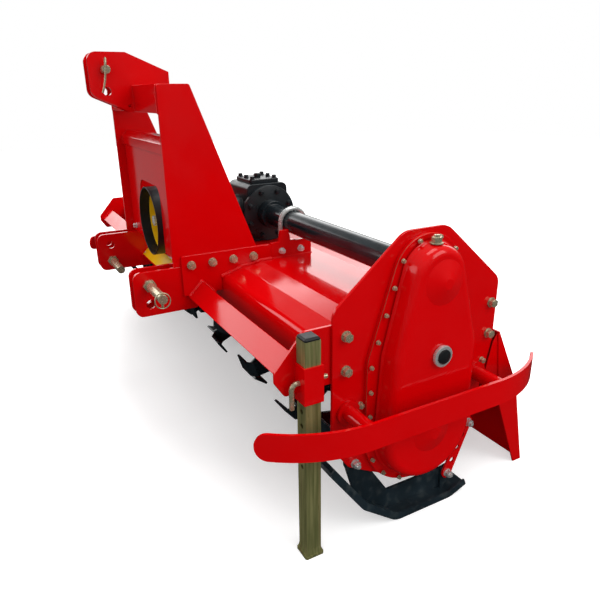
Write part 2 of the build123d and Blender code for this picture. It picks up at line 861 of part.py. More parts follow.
# PTO shield, its bright liner and the splined input shaft
with BuildPart() as pto_shield:
    with BuildSketch(front_view(nose_end_y)):
        with Locations((0, tube_axis_z)):
            Circle(shield_r)
            Circle(shield_eye_r, mode=Mode.SUBTRACT)
    extrude(amount=shield_wall)
    with BuildSketch(front_view(nose_end_y)):
        with Locations((0, tube_axis_z)):
            Circle(shield_r)
            Circle(shield_r - shield_wall, mode=Mode.SUBTRACT)
    extrude(amount=nose_end_y - shield_rim_y)
save(pto_shield, "pto_shield", hitch_x)

with BuildPart() as shield_liner:
    liner_r = shield_r - shield_wall
    with BuildSketch(front_view(nose_end_y - shield_wall)):
        with Locations((0, tube_axis_z)):
            Circle(liner_r)
            Circle(liner_r - liner_t, mode=Mode.SUBTRACT)
    extrude(amount=nose_end_y - shield_wall - shield_rim_y - liner_setback)
save(shield_liner, "shield_liner", hitch_x)

with BuildPart() as input_shaft:
    shaft_rear_y = nose_end_y + pto_seat_depth - running_fit
    with BuildSketch(front_view(shaft_rear_y)):
        with Locations((0, tube_axis_z)):
            Circle(pto_r)
    extrude(amount=shaft_rear_y - pto_front_y)
    with BuildSketch(front_view(pto_front_y + spline_length)):
        with Locations((0, tube_axis_z)):
            with PolarLocations(pto_r, spline_count):
                Rectangle(2 * spline_depth, spline_w)
    extrude(amount=spline_length, mode=Mode.SUBTRACT)
save(input_shaft, "input_shaft", hitch_x)

# Rotor bearings inside the side plates and the cap outside the far plate
with BuildPart() as rotor_bearing:
    with BuildSketch(side_view(side_inner_x - bearing_t)):
        disc(drive_y, rotor_axis_z, bearing_r)
        disc(drive_y, rotor_axis_z, rotor_stub_r + running_fit, Mode.SUBTRACT)
    extrude(amount=bearing_t)
save_pair(rotor_bearing, "rotor_bearing")

with BuildPart() as bearing_cap:
    with BuildSketch(side_view(-side_face_x - bearing_cap_rise)):
        disc(drive_y, rotor_axis_z, bearing_cap_r)
    extrude(amount=bearing_cap_rise)
    fillet(bearing_cap.faces().sort_by(Axis.X)[0].edges(), bearing_cap_rise / 2)
save(bearing_cap, "bearing_cap")

# Rotor tube with its stub ends
with BuildPart() as rotor_shaft:
    with BuildSketch(side_view(-rotor_tube_half)):
        disc(drive_y, rotor_axis_z, rotor_tube_r)
    extrude(amount=2 * rotor_tube_half)
    stub_half = side_inner_x - running_fit
    with BuildSketch(side_view(-stub_half)):
        disc(drive_y, rotor_axis_z, rotor_stub_r)
    extrude(amount=2 * stub_half)
save(rotor_shaft, "rotor_shaft")


# One L-shaped blade standing on the rotor axis, its tip bent towards +X
shank_x = flange_t / 2
blade_root_r = flange_r - blade_w / 2
blade_waist_r = (blade_root_r + blade_tip_r) / 2


def turned(radius, angle):
    """Point at a radius and angle round the axis, in a side view."""
    return (radius * cos(radians(angle)), radius * sin(radians(angle)))


with BuildPart() as blade:
    with BuildSketch(Plane.XY.offset(-blade_tip_r)):
        with BuildLine():
            Polyline(
                (shank_x, 0),
                (shank_x, blade_tip_r - blade_bend),
                (shank_x + blade_bend, blade_tip_r),
                (shank_x + blade_reach, blade_tip_r),
            )
            offset(amount=blade_t, side=Side.RIGHT, kind=Kind.INTERSECTION)
        make_face()
    extrude(amount=2 * blade_tip_r)
    with BuildSketch(side_view(0)):
        waist_y, waist_z = turned(blade_waist_r, blade_sweep / 3)
        Polygon(
            turned(blade_root_r, blade_sweep + blade_root_half_angle),
            (waist_y, waist_z + blade_waist_w / 2),
            (blade_tip_r + blade_t, blade_w / 2),
            (blade_tip_r + blade_t, -blade_w / 2),
            (waist_y, waist_z - blade_waist_w / 2),
            turned(blade_root_r, blade_sweep - blade_root_half_angle),
            align=None,
        )
    extrude(amount=blade_reach + flange_t, mode=Mode.INTERSECT)

with BuildPart() as left_blade:
    mirror(blade.part, about=Plane.YZ)

# Tine wheel: a flange on the rotor tube with blades turned left and right in turn
blade_step = 360 / blades_per_flange
right_turns = [Location((0, 0, 0), (turn * blade_step, 0, 0)) for turn in range(0, blades_per_flange, 2)]
left_turns = [Location((0, 0, 0), (turn * blade_step, 0, 0)) for turn in range(1, blades_per_flange, 2)]
with BuildPart() as tine_wheel:
    with BuildSketch(side_view(-flange_t / 2)):
        Circle(flange_r)
        Circle(rotor_tube_r, mode=Mode.SUBTRACT)
    extrude(amount=flange_t)
    with Locations(*right_turns):
        add(blade.part)
    with Locations(*left_turns):
        add(left_blade.part)

wheel_span = 2 * (rotor_tube_half - blade_reach - blade_end_gap)
flange_pitch = wheel_span / (flange_count - 1)
wheel_places = [
    Location((place * flange_pitch - wheel_span / 2, drive_y, rotor_axis_z), (place * flange_twist, 0, 0))
    for place in range(flange_count)
]
with BuildPart() as tines:
    with Locations(*wheel_places):
        add(tine_wheel.part)
save(tines, "rotor_tines")

# Side guards: a flat bar bent in at both ends, on two tubes with round bases
guard_mid_x = guard_face_x - guard_t / 2
with BuildPart() as guard:
    with BuildSketch(Plane.XY.offset(guard_z - guard_h / 2)):
        with BuildLine() as guard_line:
            guard_run = Line((guard_mid_x, guard_front_y), (guard_mid_x, guard_rear_y))
            CenterArc((guard_mid_x - guard_front_r, guard_front_y), guard_front_r, 0, -guard_bend)
            CenterArc((guard_mid_x - guard_rear_r, guard_rear_y), guard_rear_r, 0, guard_bend)
        trace(line_width=guard_t)
    extrude(amount=guard_h)
    end_corners = [edge for edge in guard.edges() if abs(edge.length - guard_t) < running_fit]
    fillet(end_corners, guard_h / 2 - guard_end_flat)
    for tube_y in (guard_front_tube_y, guard_rear_tube_y):
        with BuildSketch(side_view(side_face_x)):
            disc(tube_y, guard_z, guard_base_r)
        extrude(amount=guard_base_t)
        with BuildSketch(side_view(side_face_x)):
            disc(tube_y, guard_z, guard_tube_r)
        extrude(amount=guard_mid_x - side_face_x)
save_pair(guard, "guard")

# Skids under the side plates: a bent sole with raised rims and a web up to the pivot
skid_rims = (
    (skid_inner_x, skid_outer_x - skid_inner_x, skid_t),
    (skid_inner_x, skid_rim_t, skid_rim_h),
    (skid_outer_x - skid_rim_t, skid_rim_t, skid_rim_h),
)
sole_mid_z = ground_z + skid_t / 2
with BuildPart() as skid:
    for start_x, width, height in skid_rims:
        with BuildSketch(side_view(start_x)):
            with BuildLine():
                FilletPolyline(
                    skid_toe,
                    skid_shin,
                    (skid_flat_front_y, ground_z),
                    (skid_flat_rear_y, ground_z),
                    skid_tail,
                    radius=skid_bend_r,
                )
                offset(amount=height, side=Side.LEFT)
            make_face()
        extrude(amount=width)
    with BuildSketch(side_view(side_inner_x - skid_web_t)):
        Polygon(
            (skid_pivot[0] - skid_pivot_r, skid_pivot[1]),
            (skid_shin[0] + skid_t / 2, skid_shin[1] + skid_t),
            (skid_flat_front_y, sole_mid_z),
            (skid_flat_rear_y, sole_mid_z),
            (adjuster_foot[0] + adjuster_w / 2, adjuster_foot[1] - adjuster_w / 2),
            (adjuster_foot[0] + adjuster_w / 2, adjuster_foot[1] + adjuster_w / 2),
            (skid_flat_rear_y, ground_z + skid_web_h),
            (skid_flat_front_y, ground_z + skid_web_h),
            (skid_pivot[0] + skid_pivot_r, skid_pivot[1]),
            align=None,
        )
        disc(*skid_pivot, skid_pivot_r)
    extrude(amount=skid_web_t)
    with BuildSketch(side_view(side_inner_x)):
        Polygon(
            (adjuster_foot[0] - adjuster_w / 2, sole_mid_z),
            (skid_flat_rear_y, sole_mid_z),
            (adjuster_foot[0] + adjuster_w / 2, adjuster_foot[1] - adjuster_w / 2),
            (adjuster_foot[0] + adjuster_w / 2, adjuster_foot[1] + adjuster_w / 2),
            (adjuster_foot[0] - adjuster_w / 2, adjuster_foot[1] + adjuster_w / 2),
            align=None,
        )
    extrude(amount=side_plate_t)
save_pair(skid, "skid")

with BuildPart() as adjuster:
    rise_y = adjuster_top[0] - adjuster_foot[0]
    rise_z = adjuster_top[1] - adjuster_foot[1]
    with BuildSketch(side_view(side_face_x)):
        with Locations(((adjuster_top[0] + adjuster_foot[0]) / 2, (adjuster_top[1] + adjuster_foot[1]) / 2)):
            SlotCenterToCenter(hypot(rise_y, rise_z), adjuster_w, degrees(atan2(rise_z, rise_y)))
        for place in range(1, adjuster_holes + 1):
            share = place / (adjuster_holes + 1)
            hole_y = adjuster_foot[0] + share * rise_y
            hole_z = adjuster_foot[1] + share * rise_z
            disc(hole_y, hole_z, adjuster_hole_r, Mode.SUBTRACT)
    extrude(amount=adjuster_t)
save_pair(adjuster, "skid_adjuster")
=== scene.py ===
"""Studio scene of a rotary tiller: finishes, rounded edges, fasteners, pins, welds, floor and light."""
import json
from math import ceil, cos, hypot, radians, sin

import bmesh
import bpy
from mathutils import Matrix, Vector


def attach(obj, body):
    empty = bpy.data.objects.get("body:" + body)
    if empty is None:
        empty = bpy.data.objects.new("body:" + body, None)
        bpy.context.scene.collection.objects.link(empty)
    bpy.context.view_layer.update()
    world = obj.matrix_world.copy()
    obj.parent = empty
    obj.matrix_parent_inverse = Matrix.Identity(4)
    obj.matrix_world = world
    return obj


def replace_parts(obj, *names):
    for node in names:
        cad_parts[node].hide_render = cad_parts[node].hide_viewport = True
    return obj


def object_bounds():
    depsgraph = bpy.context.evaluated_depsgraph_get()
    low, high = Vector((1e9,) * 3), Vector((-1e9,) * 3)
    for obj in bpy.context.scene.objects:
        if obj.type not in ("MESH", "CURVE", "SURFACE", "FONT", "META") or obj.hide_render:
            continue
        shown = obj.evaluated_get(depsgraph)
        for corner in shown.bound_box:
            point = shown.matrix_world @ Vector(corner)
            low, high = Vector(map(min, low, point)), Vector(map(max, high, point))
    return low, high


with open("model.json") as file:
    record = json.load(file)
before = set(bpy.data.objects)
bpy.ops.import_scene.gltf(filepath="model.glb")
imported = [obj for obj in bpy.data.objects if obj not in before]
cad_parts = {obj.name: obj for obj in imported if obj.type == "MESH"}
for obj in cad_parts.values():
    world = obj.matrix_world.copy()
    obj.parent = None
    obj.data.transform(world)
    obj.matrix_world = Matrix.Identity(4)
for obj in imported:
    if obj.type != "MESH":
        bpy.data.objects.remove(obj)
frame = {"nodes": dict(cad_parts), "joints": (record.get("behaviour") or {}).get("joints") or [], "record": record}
cad_low, cad_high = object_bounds()
nodes = frame["nodes"]
slot_of = {row["node"]: row["material_slot"] for row in frame["record"]["subparts"]}
rotor_axis = next(Vector(joint["pos_m"]) for joint in frame["joints"] if joint["name"] == "rotor_spin")
mm = 0.001
X, Y, Z = Vector((1, 0, 0)), Vector((0, 1, 0)), Vector((0, 0, 1))
datum = Vector((78, -24, 20)) * mm


def at(x, y, z):
    """Place in the frame of a point in millimetres from the datum, which is on the hitch's middle plane."""
    return datum + Vector((x, y, z)) * mm


# Finishes
def colour(code):
    """Linear colour of an sRGB hex code."""
    parts = [int(code[i:i + 2], 16) / 255 for i in (1, 3, 5)]
    return [c / 12.92 if c <= 0.04045 else ((c + 0.055) / 1.055) ** 2.4 for c in parts] + [1]


def add(tree, kind, inputs=None, **settings):
    """Add a shader node with its settings, and set or link its inputs."""
    made = tree.nodes.new(kind)
    for key, value in settings.items():
        setattr(made, key, value)
    for key, value in (inputs or {}).items():
        if isinstance(value, bpy.types.NodeSocket):
            tree.links.new(value, made.inputs[key])
        else:
            made.inputs[key].default_value = value
    return made


def finish(name, **constants):
    """New material with its surface shader and the point on the object in metres."""
    made = bpy.data.materials.new(name)
    made.use_nodes = True
    surface = made.node_tree.nodes["Principled BSDF"]
    for key, value in constants.items():
        surface.inputs[key.replace("_", " ")].default_value = value
    place = add(made.node_tree, "ShaderNodeTexCoord").outputs["Object"]
    return made, made.node_tree, surface, place


def cloud(tree, place, size, low, high, detail=3):
    """Value that drifts between two limits over clouds of the given size."""
    noise = add(tree, "ShaderNodeTexNoise", {"Vector": place, "Scale": 1 / size, "Detail": detail})
    return add(tree, "ShaderNodeMapRange", {"Value": noise.outputs[0], "From Min": 0.25, "From Max": 0.75,
                                            "To Min": low, "To Max": high}).outputs[0]


def mottle(tree, place, size, low, high, detail=3):
    """Colour that drifts between two hex codes over clouds of the given size."""
    ends = {0: cloud(tree, place, size, 0, 1, detail), 6: colour(low), 7: colour(high)}
    return add(tree, "ShaderNodeMix", ends, data_type="RGBA").outputs[2]


def ripple(tree, surface, place, size, depth):
    """Fine relief of the given grain and depth."""
    grain = add(tree, "ShaderNodeTexNoise", {"Vector": place, "Scale": 1 / size, "Detail": 2})
    relief = add(tree, "ShaderNodeBump", {"Height": grain.outputs[0], "Strength": 1, "Distance": depth})
    tree.links.new(relief.outputs[0], surface.inputs["Normal"])


# Red powder coat: deep saturated gloss that mirrors the sky on the deck, with a faint orange-peel skin
red_coat, tree, surface, place = finish("red_powder_coat", Specular_IOR_Level=0.38)
tree.links.new(mottle(tree, place, 350 * mm, "#C40003", "#CE0105"), surface.inputs["Base Color"])
tree.links.new(cloud(tree, place, 60 * mm, 0.08, 0.16, 4), surface.inputs["Roughness"])
ripple(tree, surface, place, 9 * mm, 0.02 * mm)

# Blue-black enamel: cold dark gloss of the drive tubes and the rotor
blue_enamel, tree, surface, place = finish("blue_black_enamel", Specular_IOR_Level=0.6)
tree.links.new(mottle(tree, place, 50 * mm, "#10161A", "#192227"), surface.inputs["Base Color"])
tree.links.new(cloud(tree, place, 40 * mm, 0.14, 0.24, 4), surface.inputs["Roughness"])

# Cast enamel: the same paint over the pebbled skin of a sand casting
cast_enamel, tree, surface, place = finish("blue_black_enamel_on_casting", Specular_IOR_Level=0.5)
tree.links.new(mottle(tree, place, 50 * mm, "#0E1316", "#192126"), surface.inputs["Base Color"])
tree.links.new(cloud(tree, place, 40 * mm, 0.25, 0.4, 4), surface.inputs["Roughness"])
ripple(tree, surface, place, 3 * mm, 0.12 * mm)

# Skid paint: satin navy black with pale dust rubbed into it
skid_paint, tree, surface, place = finish("navy_skid_paint", Specular_IOR_Level=0.4)
navy = mottle(tree, place, 80 * mm, "#121D23", "#1C2A32")
dust = cloud(tree, place, 25 * mm, -0.35, 0.3, 8)
dusty = add(tree, "ShaderNodeMix", {0: dust, 6: navy, 7: colour("#5E6462")}, data_type="RGBA").outputs[2]
tree.links.new(dusty, surface.inputs["Base Color"])
tree.links.new(cloud(tree, place, 30 * mm, 0.3, 0.55, 5), surface.inputs["Roughness"])

# Yellow zinc: passivated plating with olive, straw and rust-brown runs down the steel
yellow_zinc, tree, surface, place = finish("yellow_passivated_zinc", Metallic=0.45)
runs = add(tree, "ShaderNodeMapping", {"Vector": place, "Scale": (1, 1, 0.05)}).outputs[0]
olive = mottle(tree, runs, 8 * mm, "#585E32", "#9C9866", 5)
brown = cloud(tree, runs, 15 * mm, -0.8, 0.55, 5)
stained = add(tree, "ShaderNodeMix", {0: brown, 6: olive, 7: colour("#7C5640")}, data_type="RGBA").outputs[2]
tree.links.new(stained, surface.inputs["Base Color"])
tree.links.new(cloud(tree, runs, 6 * mm, 0.26, 0.46, 4), surface.inputs["Roughness"])

# Zinc on turned and forged hardware: straw-coloured, with a sharper glint
straw_zinc, tree, surface, place = finish("yellow_zinc_on_hardware", Metallic=0.7)
tree.links.new(mottle(tree, place, 8 * mm, "#AFA686", "#CDC5A9", 4), surface.inputs["Base Color"])
tree.links.new(cloud(tree, place, 5 * mm, 0.18, 0.32, 4), surface.inputs["Roughness"])

# Bright zinc: pale new plating on nuts, the tube clamp and the sight glass ring
bright_zinc, tree, surface, place = finish("bright_zinc", Metallic=0.7)
tree.links.new(mottle(tree, place, 40 * mm, "#D2D5D3", "#ECEEEC"), surface.inputs["Base Color"])
tree.links.new(cloud(tree, place, 30 * mm, 0.2, 0.3), surface.inputs["Roughness"])

# Black plastic: moulded skin with a fine grain
black_plastic, tree, surface, place = finish("moulded_black_plastic", Specular_IOR_Level=0.4)
tree.links.new(mottle(tree, place, 30 * mm, "#0C0E10", "#191C1F"), surface.inputs["Base Color"])
tree.links.new(cloud(tree, place, 20 * mm, 0.35, 0.5), surface.inputs["Roughness"])
ripple(tree, surface, place, 1.2 * mm, 0.03 * mm)

# Yellow plastic: warm satin lining of the shield, and the blank plate on the bar
yellow_plastic, tree, surface, place = finish("moulded_yellow_plastic", Specular_IOR_Level=0.3)
tree.links.new(mottle(tree, place, 60 * mm, "#E6AE00", "#F5C40C"), surface.inputs["Base Color"])
tree.links.new(cloud(tree, place, 15 * mm, 0.35, 0.5), surface.inputs["Roughness"])

# Gasket fibre: matt brown edge between case and cover
gasket_fibre, tree, surface, place = finish("gasket_fibre", Specular_IOR_Level=0.2)
tree.links.new(mottle(tree, place, 5 * mm, "#4A3222", "#8A6A4A", 6), surface.inputs["Base Color"])
tree.links.new(cloud(tree, place, 5 * mm, 0.7, 0.95), surface.inputs["Roughness"])

slot_finish = {
    "red_paint": red_coat,
    "black_paint": blue_enamel,
    "skid_paint": skid_paint,
    "yellow_zinc": yellow_zinc,
    "bright_zinc": bright_zinc,
    "black_plastic": black_plastic,
    "yellow_plastic": yellow_plastic,
    "gasket_fibre": gasket_fibre,
}
node_finish = {
    "gearbox": cast_enamel,
    "gearbox_lid": cast_enamel,
    "bearing_cap": cast_enamel,
    "hitch_pin_drive": straw_zinc,
    "hitch_pin_far": straw_zinc,
    "top_link_pin": straw_zinc,
    "stand_pin": straw_zinc,
    "filler_plug": straw_zinc,
}

# Edge radius of the CAD pieces that differ from cut sheet
sheet_edge = 1.2 * mm
edge_radius = {
    "gearbox": 4 * mm,
    "gearbox_lid": 2.5 * mm,
    "pto_shield": 1.5 * mm,
    "case_gasket": 0.3 * mm,
    "skid_drive": 2 * mm,
    "skid_far": 2 * mm,
    "rotor_tines": 0.8 * mm,
    "tube_clamp": 0.5 * mm,
    "stand_pin": 0.8 * mm,
    "sight_plug": 2.5 * mm,
    "leg_cap": 1.5 * mm,
}


# CAD pieces: each takes the finish of its slot, and its edges are rounded to catch the light
def dress(node, edge):
    """Give a CAD piece its finish and the edge radius of its cut, cast or folded metal."""
    piece = nodes[node]
    piece.data.materials.clear()
    piece.data.materials.append(node_finish.get(node, slot_finish[slot_of[node]]))
    weld = piece.modifiers.new("weld", "WELD")
    weld.merge_threshold = 0.02 * mm
    flats = piece.modifiers.new("flats", "DECIMATE")
    flats.decimate_type = "DISSOLVE"
    flats.angle_limit = radians(0.6)
    bevel = piece.modifiers.new("edges", "BEVEL")
    bevel.width = edge
    bevel.segments = 2
    bevel.limit_method = "ANGLE"
    bevel.angle_limit = radians(34)
    shading = piece.modifiers.new("shading", "WEIGHTED_NORMAL")
    shading.keep_sharp = True


for node in nodes:
    dress(node, edge_radius.get(node, sheet_edge))


# Small hardware
def piece(bm, name, slot, body="frame", look=None):
    """New object from a built mesh, smooth but for its corners, with its finish, on its body."""
    mesh = bpy.data.meshes.new(name)
    bm.to_mesh(mesh)
    bm.free()
    mesh.shade_smooth()
    mesh.set_sharp_from_angle(angle=radians(38))
    mesh.materials.append(look or slot_finish[slot])
    made = bpy.data.objects.new(name, mesh)
    bpy.context.scene.collection.objects.link(made)
    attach(made, body)
    return made


def barrel(bm, seat, axis, radius, height, sides=32, bevel=0.0):
    """Prism or round that stands on its seat, with the rim of its far face rounded."""
    stand = Matrix.Translation(seat + axis * height / 2) @ axis.to_track_quat("Z", "Y").to_matrix().to_4x4()
    made = bmesh.ops.create_cone(bm, cap_ends=True, segments=sides, radius1=radius, radius2=radius,
                                 depth=height, matrix=stand)["verts"]
    if bevel:
        top = {vert for vert in made if (vert.co - seat).dot(axis) > height / 2}
        rim = {edge for vert in top for edge in vert.link_edges if set(edge.verts) <= top}
        bmesh.ops.bevel(bm, geom=list(rim), offset=bevel, offset_type="OFFSET", segments=2, profile=0.5,
                        affect="EDGES", material=-1)


def bolt(bm, seat, axis, flats, washer=True, stud=0.0):
    """Hexagon head or nut of a width across flats, on its washer; a stud stands out of a nut."""
    lift = 0.14 * flats if washer else 0
    if washer:
        barrel(bm, seat, axis, 0.66 * flats, lift, 28, lift / 3)
    barrel(bm, seat + axis * lift, axis, flats / 3 ** 0.5, 0.6 * flats, 6, 0.08 * flats)
    if stud:
        barrel(bm, seat + axis * (lift + 0.55 * flats), axis, 0.31 * flats, stud, 20, 0.05 * flats)


def bolt_circle(count, radius, first):
    """Offsets in y and z of bolts spaced round a circle, from a first angle in degrees."""
    turns = [radians(first + 360 / count * step) for step in range(count)]
    return [(radius * cos(turn), radius * sin(turn)) for turn in turns]


def hoop(bm, centre, axis, radius, thick):
    """Ring of round wire."""
    stand = Matrix.Translation(centre) @ axis.to_track_quat("Z", "Y").to_matrix().to_4x4()
    section = stand @ Matrix.Translation((radius, 0, 0)) @ Matrix.Rotation(radians(90), 4, "X")
    ring = bmesh.ops.create_circle(bm, segments=12, radius=thick, matrix=section)["verts"]
    loop = list(ring) + list({edge for vert in ring for edge in vert.link_edges})
    bmesh.ops.spin(bm, geom=loop, cent=centre, axis=axis, dvec=(0, 0, 0), angle=radians(360), steps=40,
                   use_merge=True, use_duplicate=False)


def bead(bm, points, radius):
    """Weld bead: overlapping ripples along a run of points."""
    for start, end in zip(points, points[1:]):
        run = end - start
        count = max(1, ceil(run.length / (0.7 * radius)))
        turn = run.to_track_quat("Z", "Y").to_matrix().to_4x4()
        for step in range(count + 1):
            spot = Matrix.Translation(start + run * step / count)
            bmesh.ops.create_icosphere(bm, subdivisions=2, radius=radius,
                                       matrix=spot @ turn @ Matrix.Diagonal((1, 1, 0.8, 1)))


def wire(name, points, radius, look):
    """Bent round wire along a smooth line."""
    curve = bpy.data.curves.new(name, "CURVE")
    curve.dimensions = "3D"
    curve.bevel_depth = radius
    curve.bevel_resolution = 3
    curve.use_fill_caps = True
    line = curve.splines.new("NURBS")
    line.points.add(len(points) - 1)
    for control, point in zip(line.points, points):
        control.co = (*point, 1)
    line.order_u = 3
    line.use_endpoint_u = True
    curve.materials.append(look)
    made = bpy.data.objects.new(name, curve)
    bpy.context.scene.collection.objects.link(made)
    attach(made, "frame")


# Faces and axes, in millimetres from the datum, that carry the fasteners
drive_face, far_face = 953, -1109
both_faces = ((drive_face, X), (far_face, -X))
bracket_face = 325
cover_face = 970.5
dome_face = 1019.5
filler_x = 987.5
hood_crest_z = 562
drive_y, rotor_z, tube_z = 85, 254, 664

# Foot bracket, side plate and guard base bolts, and the flange bolts of the far bearing
bracket_bolt_ys, bracket_bolt_z = (-296, -227, -157, -87), 581
plate_bolts = ((-138, 546), (-138, 457), (324, 542), (324, 453))
guard_base_bolts = ((-94, 352), (311, 375))
bearing_bolts, bearing_bolt_r = 6, 90
frame_hex, guard_hex, bearing_hex = 21 * mm, 14 * mm, 17 * mm
bm = bmesh.new()
for side in (1, -1):
    for y in bracket_bolt_ys:
        bolt(bm, at(side * bracket_face, y, bracket_bolt_z), X * side, frame_hex)
for face, outward in both_faces:
    for y, z in plate_bolts:
        bolt(bm, at(face, y, z), outward, frame_hex)
    for y, z in guard_base_bolts:
        bolt(bm, at(face, y, z), outward, guard_hex)
for y, z in bolt_circle(bearing_bolts, bearing_bolt_r, first=30):
    bolt(bm, at(far_face, drive_y + y, rotor_z + z), -X, bearing_hex)
piece(bm, "frame_bolts", "yellow_zinc", look=straw_zinc)


# Bolts round the rim of the chain cover, and the collar and button of its filler plug
def rim_line(node):
    """Outline of a flat CAD piece in the side view, counter-clockwise."""
    points = sorted({(round(vert.co.y, 5), round(vert.co.z, 5)) for vert in nodes[node].data.vertices})
    line = []
    for run in (points, points[::-1]):
        start = len(line)
        for y, z in run:
            while len(line) - start > 1:
                (ay, az), (by, bz) = line[-2:]
                if (by - ay) * (z - az) - (bz - az) * (y - ay) > 0:
                    break
                line.pop()
            line.append((y, z))
        line.pop()
    return line


def along(line, pitch, inset):
    """Points at an even pitch along a closed outline, drawn in from it."""
    spans = list(zip(line, line[1:] + line[:1]))
    lengths = [hypot(b[0] - a[0], b[1] - a[1]) for a, b in spans]
    count = round(sum(lengths) / pitch)
    step = sum(lengths) / count
    made, passed = [], 0.0
    for (a, b), length in zip(spans, lengths):
        while len(made) < count and len(made) * step <= passed + length:
            share = (len(made) * step - passed) / length
            run = ((b[0] - a[0]) / length, (b[1] - a[1]) / length)
            made.append((a[0] + share * length * run[0] - inset * run[1],
                         a[1] + share * length * run[1] + inset * run[0]))
        passed += length
    return made


rim_bolt_pitch, rim_bolt_inset, rim_hex = 68 * mm, 7 * mm, 9 * mm
filler_collar_z, filler_button_z = 744, 760
bm = bmesh.new()
for y, z in along(rim_line("case_gasket"), rim_bolt_pitch, rim_bolt_inset):
    bolt(bm, Vector((at(cover_face, 0, 0).x, y, z)), X, rim_hex)
barrel(bm, at(filler_x, drive_y, filler_collar_z), Z, radius=16 * mm, height=3 * mm, bevel=1 * mm)
barrel(bm, at(filler_x, drive_y, filler_button_z), Z, radius=7 * mm, height=5 * mm, sides=24,
       bevel=1.5 * mm)
piece(bm, "cover_bolts", "yellow_zinc", look=straw_zinc)

# Sight glass in the ring on the dome
sight_seat = at(dome_face + 9.5, drive_y + 12, 468)
bm = bmesh.new()
barrel(bm, sight_seat, X, radius=19 * mm, height=5 * mm, sides=48, bevel=3 * mm)
piece(bm, "sight_glass", "black_plastic")


# Chain cover: pressed dome on its bolting flange, with a blunt cone over each shaft end
def band(discs, count=144):
    """Points of a band stretched round discs, each a centre and a radius in millimetres."""
    line = []
    for step in range(count):
        turn = radians(360 * step / count)
        y, z, radius = max(discs, key=lambda disc: disc[0] * cos(turn) + disc[1] * sin(turn) + disc[2])
        line.append(at(0, y + radius * cos(turn), z + radius * sin(turn)).yz)
    return line


def curl(radius, start, end, count=7):
    """Steps of a bend from one slope to another, in degrees: how far in, and how far up."""
    length = radius * radians(abs(end - start)) / count
    slopes = [radians(start + (end - start) * (step + 0.5) / count) for step in range(count)]
    return [(length * cos(slope), length * sin(slope)) for slope in slopes]


def plate_edge(thick, edge=1):
    """Steps of a flat plate whose rim is a little rounded, with a level border inside it."""
    return [(0.01, thick - edge)] + curl(edge, 90, 0, 3) + [(2, 0)]


def pressing(bm, x, outline, steps):
    """Sheet on an outline, drawn in and raised step by step, and closed at the back."""
    face = bm.faces.new([bm.verts.new((at(x, 0, 0).x, y, z)) for y, z in outline])
    for inset, rise in steps:
        bmesh.ops.inset_individual(bm, faces=[face], thickness=inset * mm, depth=rise * mm,
                                   use_even_offset=True)
    bmesh.ops.holes_fill(bm, edges=[edge for edge in bm.edges if edge.is_boundary])


cover_flange = 6
dome_discs = [(87, 664, 87), (29, 470, 78), (151, 470, 78), (drive_y, rotor_z, 147)]
dome_slope, dome_foot_bend, dome_edge_bend = 82, 8, 22
dome_wall, dome_top = (3.3, 23.2), (2, 0)
cone_centres = ((90, 656), (drive_y, rotor_z))
cone_r, cone_sunk = 66, 3.5
cone_slope, cone_foot_bend, cone_tip_bend = 20, 6, 12
cone_wall, cone_top = (50, 18.2), (1, 0)
filler_seat_z = 715
bm = bmesh.new()
pressing(bm, cover_face - cover_flange, rim_line("case_gasket"), plate_edge(cover_flange))
pressing(bm, cover_face, band(dome_discs),
         curl(dome_foot_bend, 0, dome_slope) + [dome_wall] + curl(dome_edge_bend, dome_slope, 0) + [dome_top])
for y, z in cone_centres:
    pressing(bm, dome_face - cone_sunk, band([(y, z, cone_r)]),
             curl(cone_foot_bend, 0, cone_slope, 4) + [cone_wall] + curl(cone_tip_bend, cone_slope, 0, 4)
             + [cone_top])
barrel(bm, at(filler_x, drive_y, filler_seat_z), Z, radius=12 * mm, height=29 * mm)
bmesh.ops.recalc_face_normals(bm, faces=bm.faces)
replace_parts(piece(bm, "chain_cover", "red_paint"), "chain_case_cover")

# Wing gussets: plates that carry each end of the rear door forward over the edge of the side plate
gusset_t, gusset_gap = 4, 4.5
gusset = [at(0, y, z).yz for y, z in ((359, 447), (344, 425), (326, 343), (318, 290), (400, 224))]
bm = bmesh.new()
for x, outline in ((drive_face + gusset_gap, gusset), (far_face - gusset_gap, gusset[::-1])):
    pressing(bm, x, outline, plate_edge(gusset_t))
bmesh.ops.recalc_face_normals(bm, faces=bm.faces)
piece(bm, "wing_gussets", "red_paint", "rear_door")

# Bright nuts and bolts: skids, adjusters, tube clamp and mast panel
skid_bolt = (-105, 185)
adjuster_bolts, adjuster_t = ((276, 190), (214, 40)), 6 * mm
clamp_bracket_bolts = ((18, 583), (88, 583))
clamp_x, clamp_leg_ys = 277, (38.7, 131.3)
panel_bolt_x, panel_bolt_y, panel_bolt_z = 257, -321, 600
skid_hex, bracket_hex, clamp_hex = 19 * mm, 17 * mm, 24 * mm
bm = bmesh.new()
for face, outward in both_faces:
    bolt(bm, at(face, *skid_bolt), outward, skid_hex, stud=8 * mm)
    for y, z in adjuster_bolts:
        bolt(bm, at(face, y, z) + outward * adjuster_t, outward, skid_hex, stud=6 * mm)
for y, z in clamp_bracket_bolts:
    bolt(bm, at(bracket_face, y, z), X, bracket_hex, stud=5 * mm)
for y in clamp_leg_ys:
    bolt(bm, at(clamp_x, y, hood_crest_z), Z, clamp_hex)
for side in (1, -1):
    bolt(bm, at(side * panel_bolt_x, panel_bolt_y, panel_bolt_z), -Y, bracket_hex)
piece(bm, "bright_bolts", "bright_zinc")

